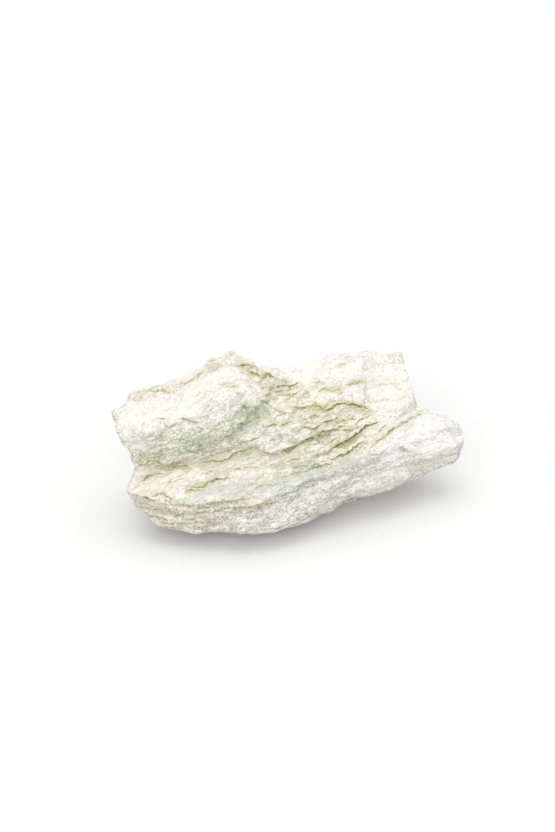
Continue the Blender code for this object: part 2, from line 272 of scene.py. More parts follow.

# Stains and tints by colour, in the order they are laid, some of them painted light or shade as marked: each
# one's reach in mm, its strength, 0 to 1, and the pixels it passes through.
STAINS = {
    "ivory": {
        "shoulder": (4.0, 0.7, [(128, 424), (140, 416), (170, 408), (190, 410)]),
        "top": (4.5, 0.7, [(190, 380), (210, 376), (228, 374)]),
        "back": (5.5, 0.7, [(312, 372), (335, 366), (360, 368), (380, 376), (392, 394)]),
        # Painted light: the corner, groove, hollow and keel patches lighten places that lie in shade: the
        # block's corner turned from the light, the groove under the block's overhang, a ledge wall in the
        # hollow and the flank's lower right edge.
        "corner": (2.4, 0.8, [(127, 433), (133, 440), (140, 446)]),
        "groove": (1.6, 0.8, [(144, 470), (160, 472), (178, 471)]),
        "hollow": (2.4, 0.6, [(270, 380), (284, 381), (296, 385)]),
        "keel_painted_light": (2.0, 0.7, [(356, 492), (384, 486), (404, 478)]),
        "left_tip": (2.6, 0.8, [(132, 490), (140, 492), (150, 488)]),
    },
    "chalk": {
        "lobe": (6.0, 0.75, [(396, 448), (410, 430), (428, 424), (444, 434), (430, 448)]),
        "flank": (4.5, 0.3, [(310, 490), (340, 484), (372, 474), (392, 466)]),
        # Painted light: lightens the lobe's end, a face turned down and away from the light.
        "lobe_end_painted_light": (2.6, 0.8, [(446, 458), (454, 450), (458, 440)]),
    },
    "rosy": {
        "tread": (3.0, 0.6, [(144, 484), (160, 482), (176, 484), (184, 478)]),
        "tread_two": (2.6, 0.5, [(196, 474), (214, 472), (232, 470)]),
        "tread_three": (2.2, 0.5, [(236, 486), (250, 489), (256, 484)]),
        "groove": (2.0, 0.5, [(258, 456), (276, 460), (300, 456)]),
        "top": (3.0, 0.35, [(150, 400), (170, 402), (190, 396), (206, 386)]),
        "middle": (2.6, 0.45, [(266, 420), (276, 414), (290, 400), (300, 396)]),
        "steps": (2.0, 0.5, [(322, 452), (336, 450), (352, 446), (366, 436)]),
        "side": (3.0, 0.4, [(376, 372), (384, 384), (392, 396)]),
    },
    "lilac": {
        "flank": (5.0, 0.5, [(214, 522), (236, 520), (262, 516), (290, 508)]),
        "flank_two": (2.6, 0.4, [(170, 506), (186, 504), (196, 508)]),
        "bulge": (2.6, 0.4, [(268, 440), (284, 444), (292, 436)]),
    },
    "slate": {
        "face": (2.6, 0.15, [(165, 428), (178, 424), (196, 422)]),
        "dark_pit": (1.8, 0.9, [(247, 408), (250, 412)]),
        "dark_pit_wash": (3.4, 0.5, [(228, 408), (244, 404), (258, 412)]),
        "steps": (3.2, 0.2, [(308, 424), (322, 422), (340, 421)]),
        "bulge": (3.6, 0.25, [(274, 430), (284, 438), (294, 430), (300, 440)]),
        "lobe": (4.0, 0.05, [(372, 462), (390, 456), (436, 450), (452, 446)]),
        "left_end": (2.6, 0.25, [(140, 500), (150, 504), (164, 510)]),
        "tread": (3.4, 0.8, [(204, 488), (226, 490), (256, 487), (286, 482), (310, 475)]),
        "edge": (2.6, 0.9, [(300, 480), (318, 474), (336, 469), (352, 463)]),
        "back": (2.0, 0.35, [(372, 374), (376, 386)]),
        # Painted shade: darkens the block's lower right face.
        "face_right": (2.4, 0.9, [(238, 434), (246, 430), (254, 425)]),
        "sugary_top": (2.8, 0.2, [(208, 410), (222, 405), (236, 402)]),
        "flank": (5.0, 0.15, [(210, 515), (260, 508), (320, 492), (370, 480)]),
    },
    "green": {
        "face_specks": (1.9, 0.6, [(178, 450), (192, 448), (206, 446), (220, 443)]),
        "face_low": (2.6, 0.2, [(160, 444), (190, 441), (230, 436)]),
        "face_right": (3.0, 0.75, [(240, 424), (256, 420), (262, 410)]),
        "ledge": (1.5, 0.8, [(316, 436), (327, 434)]),
        "lobe_right": (4.0, 0.05, [(430, 440), (450, 436)]),
        "tread": (2.2, 0.35, [(282, 470), (296, 466), (310, 460)]),
        "tread_two": (2.0, 0.3, [(278, 478), (292, 474)]),
    },
    "moss": {
        "overhang": (2.2, 0.9, [(142, 458), (156, 456)]),
        "overhang_right": (1.6, 0.5, [(160, 452), (176, 449)]),
        "face_wash": (3.4, 0.45, [(170, 436), (190, 434), (210, 432), (226, 430)]),
        "back_seam": (1.4, 0.5, [(222, 384), (236, 385)]),
        "slab_front_bright": (1.4, 0.9, [(315, 406), (324, 409)]),
        "slab_face": (3.0, 0.25, [(300, 416), (320, 416), (336, 414)]),
        "ledge": (1.6, 0.9, [(340, 444), (350, 438)]),
        "lobe_pit": (1.3, 0.4, [(402, 446), (408, 454)]),
        "tread": (2.4, 0.15, [(250, 476), (262, 474), (270, 482)]),
        "flank_seam": (1.0, 0.4, [(158, 521), (172, 525), (186, 528)]),
    },
    "fern": {
        "overhang": (1.6, 0.4, [(140, 456), (152, 456), (163, 455)]),
        "face_specks": (0.9, 1.0, [(176, 451), (186, 449), (194, 445), (204, 447), (212, 444)]),
        "face_right": (0.9, 0.9, [(222, 438), (230, 431), (240, 427), (250, 421), (260, 414)]),
        "pit": (0.9, 1.0, [(246, 404), (248, 412)]),
        "edge": (1.0, 0.8, [(256, 410), (266, 402), (272, 405)]),
        "ledge": (0.7, 0.9, [(300, 409), (312, 406), (322, 411), (332, 409)]),
        "steps": (0.7, 0.8, [(296, 447), (308, 440), (322, 434), (336, 428)]),
        "steps_two": (0.7, 0.8, [(336, 449), (350, 441), (362, 431)]),
        "tread": (0.7, 0.5, [(284, 468), (300, 464), (316, 458)]),
    },
    "rust": {
        "groove": (1.2, 0.9, [(163, 467), (170, 467)]),
        "rim": (2.2, 0.3, [(146, 390), (166, 387), (184, 383), (198, 375), (207, 366)]),
        "middle": (2.4, 0.25, [(276, 392), (292, 391)]),
        "back_spot": (1.0, 0.7, [(318, 380), (321, 382)]),
        "back_right": (2.0, 0.2, [(380, 384), (392, 382)]),
        "tread": (1.5, 0.7, [(301, 468), (304, 474)]),
        "flank": (1.5, 0.4, [(196, 520), (204, 520)]),
    },
    "ochre": {
        "groove": (1.6, 0.5, [(150, 466), (168, 467), (200, 464), (224, 461), (238, 455), (256, 447)]),
        "rim_left": (2.0, 0.3, [(142, 393), (160, 391)]),
        "peak": (2.4, 0.25, [(214, 360), (228, 355), (236, 360)]),
        "pits": (2.0, 0.5, [(242, 364), (254, 371), (268, 375)]),
        "middle_specks": (3.2, 0.2, [(268, 388), (282, 388), (294, 392), (286, 402)]),
        "back_spots": (1.3, 0.9, [(330, 391), (341, 389)]),
        "back_spots_two": (1.0, 0.7, [(338, 366), (344, 365)]),
        "back_spots_three": (1.3, 0.8, [(349, 384), (361, 382)]),
        "back_right_low": (2.0, 0.15, [(396, 398), (402, 397)]),
        "slab_front": (1.5, 0.5, [(300, 408), (318, 408), (334, 405), (352, 405), (368, 410)]),
        "ledges": (1.5, 0.4, [(297, 446), (313, 438), (332, 430), (345, 421)]),
        "ledges_two": (1.6, 0.4, [(332, 451), (346, 442), (360, 433), (376, 422)]),
        "ledges_three": (1.2, 0.3, [(332, 459), (350, 451), (364, 442)]),
        "lobe_groove": (1.6, 0.35, [(374, 446), (394, 430), (420, 413)]),
        "lobe_low": (1.6, 0.3, [(416, 467), (432, 464)]),
        "tread_seam": (1.1, 0.8, [(188, 488), (200, 485), (216, 480)]),
        "tread_left": (1.0, 0.7, [(146, 477), (158, 473)]),
        "left_end": (1.8, 0.15, [(140, 497), (156, 499), (170, 500)]),
        "flank_seam": (1.0, 0.25, [(176, 514), (190, 512), (202, 516)]),
        "flank_seam_two": (1.0, 0.3, [(212, 503), (232, 502), (250, 498)]),
    },
}

# The tints that cover evenly; the others lie flake by flake.
EVEN_TINTS = ("ivory", "chalk", "rosy", "lilac", "slate")

# Where the surface runs on smoothly over the solid's own steps, written the same way.
SMOOTHED = {
    "back": (4.5, 1.0, [(306, 384), (330, 382), (362, 380)]),
}

# Where the beds are broken most, written the same way.
BROKEN = {
    "steps": (7.0, 1.0, [(290, 425), (320, 425), (350, 425)]),
    "middle": (5.0, 0.9, [(262, 390), (285, 395), (310, 405)]),
    "pit_row": (3.0, 0.8, [(240, 366), (262, 376)]),
    "tread": (4.0, 0.6, [(170, 480), (220, 475), (280, 468), (320, 460)]),
    "left_end": (4.0, 0.55, [(140, 500), (165, 512)]),
    "flank_left": (5.0, 0.22, [(180, 516), (215, 510), (255, 503)]),
    "flank_right": (4.0, 0.1, [(280, 500), (320, 485), (360, 472)]),
}

# How broken bed edges and mica flakes are drawn: their size, and how they are packed along the mica and
# across the beds.
THIN_BEDS = {"Size": 2.0 * MM, "Along": 0.25, "Across": 2.2, "Width": 0.03}
THICK_BEDS = {"Size": 4.6 * MM, "Along": 0.3, "Across": 3.0, "Width": 0.045}
SMALL_FLAKES = {"Size": 0.7 * MM, "Along": 0.6, "Across": 1.6}
LARGE_FLAKES = {"Size": 2.2 * MM, "Along": 0.45, "Across": 2.2}
GRIT = {"Size": 0.21 * MM, "Along": 0.5, "Across": 1.1}
THREADS = {"Along": 0.13, "Across": 1.3}
MM_THREAD = 0.55
MM_THREAD_BEND = 3.0

# Two ways to lay one colour over another.
OVER = "MIX"
DARKEN = "MULTIPLY"

# The stage, in metres.
FLOOR_SIZE = 6.0
LIGHT_SIZE = 1.0
LIGHT_AIM = (0, 0, 0.01)
KEY_PLACE = (0, 0.30, 0.85)
FILL_PLACE = (-0.15, -0.90, 0.48)

COLOUR = {"size": 3, "subtype": "COLOR", "min": 0, "max": 1}


class StoneProperties(bpy.types.PropertyGroup):
    """How finely the stone is carved."""

    grain: FloatProperty(
        name="Grain", description="Spacing of the carved surface's points", default=0.27 * MM, unit="LENGTH"
    )
    triangles: IntProperty(
        name="Triangles", description="Triangles kept in the finished surface", default=197000
    )
    bed_relief: FloatProperty(
        name="Bed Relief", description="How far broken beds stand out", default=0.36 * MM, unit="LENGTH"
    )
    crumb: FloatProperty(
        name="Crumb", description="Depth of the crumbly grain", default=0.055 * MM, unit="LENGTH"
    )


class FinishProperties(bpy.types.PropertyGroup):
    """The stone's colours, some of them also laid as painted light and shade."""

    cream: FloatVectorProperty(
        name="Cream", description="Quartz and pale mica", default=(0.97, 0.95, 0.89), **COLOUR
    )
    blush: FloatVectorProperty(
        name="Blush", description="Pinkish feldspar patches", default=(0.91, 0.86, 0.79), **COLOUR
    )
    green: FloatVectorProperty(
        name="Green", description="Green chrome mica", default=(0.52, 0.62, 0.44), **COLOUR
    )
    moss: FloatVectorProperty(
        name="Moss", description="Yellow-green mica", default=(0.62, 0.64, 0.36), **COLOUR
    )
    # Also painted light, on the lobe's end.
    chalk: FloatVectorProperty(
        name="Chalk", description="White quartz", default=(0.94, 0.94, 0.94), **COLOUR
    )
    # Also painted light, in the corner, groove, hollow and keel patches that lighten shaded places.
    ivory: FloatVectorProperty(
        name="Ivory", description="Smoother, warmer places", default=(0.940, 0.915, 0.855), **COLOUR
    )
    fern: FloatVectorProperty(
        name="Fern", description="Deepest green of the fuchsite", default=(0.26, 0.42, 0.24), **COLOUR
    )
    rosy: FloatVectorProperty(
        name="Rosy", description="Faint pink of the worn bed tops", default=(0.92, 0.82, 0.72), **COLOUR
    )
    lilac: FloatVectorProperty(
        name="Lilac", description="Violet grey of the broken sides", default=(0.80, 0.745, 0.74), **COLOUR
    )
    # Also painted shade, on the block's lower right face.
    slate: FloatVectorProperty(
        name="Slate", description="Grey mica", default=(0.58, 0.60, 0.54), **COLOUR
    )
    # Also the colour of the painted shadow lines along bed edges and of the painted shade in what lies sunk.
    ochre: FloatVectorProperty(
        name="Ochre", description="Olive stain in crevices", default=(0.60, 0.56, 0.24), **COLOUR
    )
    rust: FloatVectorProperty(
        name="Rust", description="Tan stain", default=(0.66, 0.55, 0.36), **COLOUR
    )
    # Also painted shade: the dark lines under bed edges, and grit laid darker on steep faces.
    grit: FloatVectorProperty(
        name="Grit", description="Darkest grains of the surface", default=(0.42, 0.42, 0.39), **COLOUR
    )
    # Also the painted highlight on the lips of ledges and beds.
    straw_and_highlight: FloatVectorProperty(
        name="Straw", description="Thin lips of beds", default=(0.95, 0.91, 0.70), **COLOUR
    )
    # Also the painted shadow in the line under each ledge.
    soot_and_shadow: FloatVectorProperty(
        name="Soot", description="Dirt deep in crevices", default=(0.17, 0.155, 0.06), **COLOUR
    )


class StageProperties(bpy.types.PropertyGroup):
    """The camera, the floor and the lights."""

    elevation: FloatProperty(
        name="Elevation", description="How steeply the camera looks down",
        default=math.radians(30), subtype="ANGLE",
    )
    distance: FloatProperty(
        name="Distance", description="From the camera to the point it looks at",
        default=592.6 * MM, unit="LENGTH",
    )
    look_at: FloatVectorProperty(
        name="Look At", description="The point in the middle of the picture",
        default=(-3.14 * MM, -1.46 * MM, 26.0 * MM), size=3, subtype="TRANSLATION",
    )
    lens: FloatProperty(name="Lens", description="Focal length in millimetres", default=100.0)
    floor: FloatVectorProperty(
        name="Floor", description="Colour of the floor", default=(0.775, 0.775, 0.775), **COLOUR
    )
    sky: FloatProperty(name="Sky", description="Strength of the white surroundings", default=0.87)
    key: FloatProperty(name="Key", description="Power of the large light overhead", default=3.5)
    fill: FloatProperty(name="Fill", description="Power of the soft light in front", default=3.8)


# ----------------------------------------
# Noise

HASHES = 256
HASH_PRIMES = np.array((73856093, 19349663, 83492791))
HASH_MIXER = 1274126177
NOISE_GAIN = 1.7


def random_directions(seed):
    directions = np.random.default_rng(seed).normal(size=(HASHES, 3))
    return directions / np.linalg.norm(directions, axis=1)[:, None]


def hashed(cell):
    """A number from 0 to 255 for each row of three whole numbers."""
    x, y, z = (cell * HASH_PRIMES).T
    bits = x ^ y ^ z
    bits = (bits ^ (bits >> 13)) * HASH_MIXER
    return (bits ^ (bits >> 16)) & (HASHES - 1)


def noise_at(points, size, seed):
    """Smooth gradient noise, about -1 to 1, with lumps of this size: one number, or one for each axis."""
    scaled_points = points / np.array(size)
    corner = np.floor(scaled_points).astype(np.int64)
    inside = scaled_points - corner
    ease = inside**3 * (inside * (inside * 6 - 15) + 10)
    directions = random_directions(seed)
    total = np.zeros(len(points))
    for step in itertools.product((0, 1), repeat=3):
        step = np.array(step)
        share = np.where(step == 1, ease, 1 - ease).prod(axis=1)
        slope = directions[hashed(corner + step)]
        total += share * np.einsum("ij,ij->i", slope, inside - step)
    return total * NOISE_GAIN


def plates(points, size, seed):
    """Cells of this size around scattered centres: each point's cell value, -1 to 1, and how far it is
    from the next cell, 0 at the border."""
    scaled_points = points / np.array(size)
    corner = np.floor(scaled_points).astype(np.int64)
    centres = np.random.default_rng(seed).random((HASHES, 3))
    values = np.random.default_rng(seed + 1).uniform(-1, 1, HASHES)
    nearest = np.full(len(points), np.inf)
    second = np.full(len(points), np.inf)
    value = np.zeros(len(points))
    for step in itertools.product((-1, 0, 1), repeat=3):
        cell = corner + np.array(step)
        key = hashed(cell)
        distance = np.linalg.norm(cell + centres[key] - scaled_points, axis=1)
        closer = distance < nearest
        second = np.where(closer, nearest, np.minimum(second, distance))
        nearest = np.where(closer, distance, nearest)
        value = np.where(closer, values[key], value)
    return value, second - nearest


def smooth_step(low, high, value):
    """0 up to low, 1 from high on, and smooth between them."""
    share = np.clip((value - low) / (high - low), 0, 1)
    return share * share * (3 - 2 * share)


# ----------------------------------------
# Meshes as arrays, in millimetres


def read_points(mesh):
    points = np.empty(len(mesh.vertices) * 3, np.float32)
    mesh.vertices.foreach_get("co", points)
    return points.reshape(-1, 3).astype(float) / MM


def read_normals(mesh):
    normals = np.empty(len(mesh.vertices) * 3, np.float32)
    mesh.vertex_normals.foreach_get("vector", normals)
    return normals.reshape(-1, 3).astype(float)


def write_points(mesh, points):
    mesh.vertices.foreach_set("co", (points * MM).astype(np.float32).ravel())
    mesh.update()


def edge_ends(mesh):
    ends = np.empty(len(mesh.edges) * 2, np.int32)
    mesh.edges.foreach_get("vertices", ends)
    return ends.reshape(-1, 2)


def unit_rows(rows):
    return rows / np.linalg.norm(rows, axis=1)[:, None]


def relaxed(values, ends, rounds):
    """Values at the mesh's points, each moved half way to the mean of its neighbours' in each round."""
    count = len(values)
    first, second = ends.T
    degree = np.bincount(ends.ravel(), minlength=count)
    for _ in range(rounds):
        sums = [
            np.bincount(first, column[second], count) + np.bincount(second, column[first], count)
            for column in values.T
        ]
        values = values + 0.5 * (np.stack(sums, axis=1) / degree[:, None] - values)
    return values


def with_modifier(thing, kind, **settings):
    """The mesh that the object has once a modifier with these settings is applied."""
    modifier = thing.modifiers.new(kind.lower(), kind)
    for name, value in settings.items():
        setattr(modifier, name, value)
    graph = bpy.context.evaluated_depsgraph_get()
    mesh = bpy.data.meshes.new_from_object(thing.evaluated_get(graph))
    thing.modifiers.clear()
    old = thing.data
    thing.data = mesh
    bpy.data.meshes.remove(old)
    return mesh


# ----------------------------------------
# The stone's beds


def across_beds(points):
    """Height across the beds, in millimetres."""
    x, y, z = points.T
    return z - BED_RISE * y + (x - MM_FOLD_AT) ** 2 / (2 * MM_FOLD_RADIUS)


def bed_normals(points):
    normals = np.ones_like(points)
    normals[:, 0] = (points[:, 0] - MM_FOLD_AT) / MM_FOLD_RADIUS
    normals[:, 1] = -BED_RISE
    return unit_rows(normals)


def laid_level(points):
    """Places as millimetres along the drawn-out mica, across it, and up through the beds, which are bent a
    little so that nothing in them runs quite straight."""
    x, y, _ = points.T
    along_mica = x * math.cos(DRAWN_OUT) + y * math.sin(DRAWN_OUT)
    beside_mica = y * math.cos(DRAWN_OUT) - x * math.sin(DRAWN_OUT)
    flat = np.stack([along_mica, beside_mica, across_beds(points)], axis=1)
    for axis, bends in ((1, MM_BENDS_BESIDE), (2, MM_BENDS_UP)):
        flat[:, axis] += sum(reach * noise_at(flat, size, seed) for reach, size, seed in bends)
    return flat


def broken_plates(flat, size, seed):
    """Thin plates of mica, each broken off at its own depth, with a crack along some of their borders."""
    value, border = plates(flat, size, seed)
    open_crack = np.clip(value * 1.6, 0, 1)
    return value, open_crack * (1 - smooth_step(0.03, 0.2, border))


# ----------------------------------------
# Places given in the picture


def camera_axes(stage):
    """The camera's place, and its right, up and forward directions."""
    forward = Vector((0, math.cos(stage.elevation), -math.sin(stage.elevation)))
    right = Vector((1, 0, 0))
    place = Vector(stage.look_at) - forward * stage.distance
    return place, right, right.cross(forward), forward


def seen_through(pixel, stage, surface):
    """The surface's point, in millimetres, that the camera sees at a pixel, and its normal, or None."""
    place, right, up, forward = camera_axes(stage)
    pitch = SENSOR / IMAGE_HEIGHT
    across = (pixel[0] - IMAGE_WIDTH / 2) * pitch
    down = (pixel[1] - IMAGE_HEIGHT / 2) * pitch
    ray = (right * across - up * down + forward * stage.lens).normalized()
    hit, normal, _, _ = surface.ray_cast(place, ray)
    return None if hit is None else (np.array(hit) / MM, np.array(normal))


def along(pixels, step=1.5):
    """Pixels at even steps along a line of corners."""
    corners = np.array(pixels, float)
    lengths = np.linalg.norm(np.diff(corners, axis=0), axis=1)
    run = np.concatenate([[0], np.cumsum(lengths)])
    places = np.linspace(0, run[-1], max(2, int(run[-1] / step) + 1))
    return np.stack([np.interp(places, run, corners[:, i]) for i in (0, 1)], axis=1)


def nearest_place(points, places):
    """For each point: which of the places is nearest, and how far it is."""
    tree = KDTree(len(places))
    for i, place in enumerate(places):
        tree.insert(place, i)
    tree.balance()
    found = [tree.find(p) for p in points]
    return np.array([f[1] for f in found]), np.array([f[2] for f in found])


def crevice_lines():
    """Every crevice and crack: its width, depth, stain and pixels."""
    lines = list(CREVICES.values())
    for open_by, pixels in itertools.chain(*CRACKS.values()):
        lines.append((MM_CRACK_WIDTH, open_by * MM_CRACK_DEPTH, CRACK_STAIN * open_by, pixels))
    return lines


def crevice_places(surface, stage):
    """Places along the crevices: each with the way up the face there, and its width, depth and stain."""
    _, right, up, forward = (np.array(axis) for axis in camera_axes(stage))
    rows = []
    for width, depth, stain, pixels in crevice_lines():
        line = along(pixels)
        runs = np.gradient(line, axis=0)
        for i, (pixel, run) in enumerate(zip(line, runs)):
            seen = seen_through(pixel, stage, surface)
            if seen is None:
                continue
            hit, normal = seen
            above = right * run[1] + up * run[0]
            above *= np.sign(above @ up) or 1.0
            above -= forward * (above @ normal) / min(-0.2, forward @ normal)
            taper = min(1.0, 0.35 + 2.5 * min(i, len(line) - 1 - i) / len(line))
            rows.append((*hit, *above / np.linalg.norm(above), width, depth * taper, stain))
    return np.array(rows)


def crevice_reach(points, surface, stage):
    """For each point: how deep its crevice is there and how far the ledge above it stands out, both in
    millimetres, how far up from the crevice it lies, and how much stain it holds."""
    places = crevice_places(surface, stage)
    index, distance = nearest_place(points, places[:, :3])
    place = places[index]
    width, depth, stain = place[:, 6], place[:, 7], place[:, 8]
    above = np.einsum("ij,ij->i", points - place[:, :3], place[:, 3:6])
    beside = np.sqrt(np.maximum(distance**2 - above**2, 0))
    above = above + 0.3 * noise_at(points, 1.3, 71) + 0.4 * noise_at(points, 3.5, 72)
    near = np.exp(-((beside / MM_CREVICE_BESIDE) ** 2))
    gap = np.exp(-(((above + 0.1) / (0.6 * width)) ** 2))
    lip = smooth_step(0.0, 0.3, above) * np.exp(-((above / MM_LEDGE_UP) ** 2))
    drop = smooth_step(0.0, 0.3, -above) * np.exp(-((above / MM_DROP_DOWN) ** 2))
    carve = depth * gap * near
    ledge = LEDGE_SHARE * depth * (lip - drop) * near
    return carve, ledge, above, stain * np.exp(-((distance / MM_STAIN_REACH) ** 2))


def spread(points, patches, surface, stage):
    """How strongly each point is covered by patches, each a reach, a strength and a line of pixels."""
    cover = np.zeros(len(points))
    ragged = 0.45 * noise_at(points, 2.6, 91) + 0.25 * noise_at(points, 1.1, 92)
    for reach, strength, pixels in patches.values():
        seen = [seen_through(pixel, stage, surface) for pixel in along(pixels, 3.0)]
        places = np.array([hit for hit, _ in filter(None, seen)])
        low = places.min(axis=0) - 2 * reach
        high = places.max(axis=0) + 2 * reach
        inside = np.flatnonzero(((points > low) & (points < high)).all(axis=1))
        gaps = np.linalg.norm(points[inside, None] - places[None], axis=2).min(axis=1)
        share = strength * (1 - smooth_step(0.35, 1.3, gaps / reach + ragged[inside]))
        cover[inside] = np.maximum(cover[inside], share)
    return cover


# ----------------------------------------
# Carving


def set_mask(mesh, name, values):
    layer = mesh.attributes.new(name, "FLOAT", "POINT")
    layer.data.foreach_set("value", values.astype(np.float32))


def hold_base(points, moved):
    """The resting face kept flat, and the carving faded out just above it."""
    height = points[:, 2]
    free = smooth_step(MM_CARVED_FROM, MM_CARVED_FULLY, height)[:, None]
    held = points + free * (moved - points)
    held[:, 2] = np.where(height < MM_ON_BASE, 0.0, np.maximum(held[:, 2], MM_OVER_BASE))
    return held


def hidden_damage(points, normals):
    """Broken patches on the sides that face back."""
    facing_back = smooth_step(0.0, 0.5, normals[:, 1])
    patch = smooth_step(-0.15, 0.4, noise_at(points, MM_HIDDEN_PATCH, 61))
    return HIDDEN_DAMAGE * facing_back * patch


def carve_beds(points, normals, broad_normals, damage, stone):
    """Plates of mica that stand out or have broken away, thinner and thinner, and the cracks between them,
    most where the stone is damaged."""
    relief = stone.bed_relief / MM
    facing = np.abs(np.einsum("ij,ij->i", broad_normals, bed_normals(points)))
    broken = 1 - smooth_step(0.55, 0.93, facing)
    flat = laid_level(points)
    push = np.zeros(len(points))
    for share, size in MM_PLATES:
        value, crack = broken_plates(flat, size, seed=int(1000 * share))
        push += (LEAST_RELIEF + damage) * share * relief * ((0.6 + 0.4 * broken) * value - 1.1 * crack)
    return points + normals * push[:, None]


def carve_grain(points, normals, stone):
    """Sugary grain all over."""
    crumb = stone.crumb / MM
    push = crumb * noise_at(points, 2.4, 606)
    push += 0.8 * crumb * noise_at(points, 1.0, 707)
    value, border = plates(points, 1.15, 808)
    push += crumb * (0.5 * value + 0.9 * smooth_step(0, 0.4, border))
    return points + normals * push[:, None]


def fine_copy(stone):
    """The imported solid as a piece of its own, with many more points."""
    piece = bpy.data.objects.new(PIECE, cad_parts[NODE].data.copy())
    bpy.context.scene.collection.objects.link(piece)
    with_modifier(piece, "WELD", merge_threshold=0.01 * MM)
    with_modifier(piece, "REMESH", mode="VOXEL", voxel_size=stone.grain)
    return piece


def shown_mesh(piece, stone):
    """The piece's mesh with no more triangles than wanted, shaded smooth."""
    mesh = piece.data
    count = sum(len(p.vertices) - 2 for p in mesh.polygons)
    if count > stone.triangles:
        kept = stone.triangles / count
        mesh = with_modifier(piece, "DECIMATE", ratio=kept, use_collapse_triangulate=True)
    mesh.name = PIECE
    mesh.shade_smooth()


def carve_stone(stone, stage):
    """The carved surface, with its masks."""
    piece = fine_copy(stone)
    mesh = piece.data
    ends = edge_ends(mesh)
    start = read_points(mesh)
    points = hold_base(start, relaxed(start, ends, ROUNDS_START))
    write_points(mesh, points)
    normals = read_normals(mesh)
    broad_normals = unit_rows(relaxed(normals, ends, ROUNDS_FACING))
    surface = BVHTree.FromPolygons([v.co for v in mesh.vertices], [p.vertices for p in mesh.polygons])

    smooth = spread(points, SMOOTHED, surface, stage)[:, None]
    points = hold_base(start, points + smooth * (relaxed(points, ends, ROUNDS_SMOOTHED) - points))
    carve, ledge, above, stain = crevice_reach(points, surface, stage)
    damage = np.maximum(spread(points, BROKEN, surface, stage), hidden_damage(points, normals))
    for kind, patches in STAINS.items():
        set_mask(mesh, kind, spread(points, patches, surface, stage))

    moved = carve_beds(points, normals, broad_normals, damage, stone)
    moved += ledge[:, None] * normals
    write_points(mesh, moved)
    moved = carve_grain(moved, read_normals(mesh), stone)
    inward = np.array([0.0, 1.0, BED_RISE])
    inward /= np.linalg.norm(inward)
    moved += carve[:, None] * (0.6 * inward - 0.4 * broad_normals)
    points = hold_base(points, moved)
    write_points(mesh, points)

    set_mask(mesh, "stain", stain)
    set_mask(mesh, "above", np.clip(above, -2, 2))
    set_mask(mesh, "broken", damage)
    set_mask(mesh, "crevice", np.clip(carve / 1.2, 0, 1))
    # How far each point stands out of the smoothed surface: the finish lays olive stain and painted shade
    # where it is sunk.
    out_by = points - relaxed(points, ends, ROUNDS_EDGES)
    set_mask(mesh, "edge", np.einsum("ij,ij->i", out_by, broad_normals))
    shown_mesh(piece, stone)
    return piece


# ----------------------------------------
# Shader nodes


def add(tree, kind, inputs, **settings):
    """A node with its settings, and with each input set to a value or linked to a socket."""
    node = tree.nodes.new(kind)
    for name, value in settings.items():
        setattr(node, name, value)
    for name, value in inputs.items():
        if isinstance(value, bpy.types.NodeSocket):
            tree.links.new(value, node.inputs[name])
        else:
            node.inputs[name].default_value = value
    return node


def math_node(tree, operation, *values, clamp=False):
    inputs = dict(enumerate(values))
    return add(tree, "ShaderNodeMath", inputs, operation=operation, use_clamp=clamp).outputs[0]


def scaled(tree, value, factor, added, clamp=False):
    """A value times a factor, and something added."""
    return math_node(tree, "MULTIPLY_ADD", value, factor, added, clamp=clamp)


def times(tree, *shares):
    """The product of several shares."""
    product = shares[0]
    for share in shares[1:]:
        product = math_node(tree, "MULTIPLY", product, share)
    return product


def span(tree, value, low, high):
    """0 at low and beyond it, 1 at high and beyond it, and smooth between them, whichever is the greater."""
    inputs = {"Value": value, "From Min": low, "From Max": high}
    return add(tree, "ShaderNodeMapRange", inputs, interpolation_type="SMOOTHSTEP").outputs["Result"]


def span_down(tree, value, low, high):
    """1 at low and beyond it, 0 at high and beyond it."""
    return math_node(tree, "SUBTRACT", 1.0, span(tree, value, low, high))


def mixed(tree, share, first, second, blend=OVER):
    node = tree.nodes.new("ShaderNodeMix")
    node.data_type = "RGBA"
    node.blend_type = blend
    sockets = {s.identifier: s for s in node.inputs}
    wanted = {"Factor_Float": share, "A_Color": first, "B_Color": second}
    for name, value in wanted.items():
        if isinstance(value, bpy.types.NodeSocket):
            tree.links.new(value, sockets[name])
        else:
            sockets[name].default_value = value
    return next(s for s in node.outputs if s.identifier == "Result_Color")


def colour(values):
    return (*values, 1.0)


def painted(tree, tone, layers):
    """The tone with layers laid over it in turn, each a share, a colour and how it is laid."""
    for share, tint, blend in layers:
        tone = mixed(tree, share, tone, colour(tint), blend)
    return tone


def mask(tree, name):
    return add(tree, "ShaderNodeAttribute", {}, attribute_name=name).outputs["Fac"]


def object_noise(tree, size, detail=3.0, roughness=0.55, offset=(0, 0, 0)):
    place = tree.nodes.new("ShaderNodeTexCoord").outputs["Object"]
    moved = add(tree, "ShaderNodeVectorMath", {0: place, 1: offset}, operation="ADD").outputs[0]
    inputs = {"Vector": moved, "Scale": 1 / size, "Detail": detail, "Roughness": roughness}
    return add(tree, "ShaderNodeTexNoise", inputs).outputs["Fac"]


# ----------------------------------------
# Shader node groups


def new_group(name, inputs, outputs):
    """An empty group, with inputs by name and default value, and what it is given and gives out."""
    tree = bpy.data.node_groups.new(name, "ShaderNodeTree")
    for socket_name, default in inputs.items():
        socket = tree.interface.new_socket(socket_name, in_out="INPUT", socket_type="NodeSocketFloat")
        socket.default_value = default
    for socket_name, kind in outputs.items():
        tree.interface.new_socket(socket_name, in_out="OUTPUT", socket_type=kind)
    given = tree.nodes.new("NodeGroupInput")
    result = tree.nodes.new("NodeGroupOutput")
    return tree, given.outputs, result.inputs


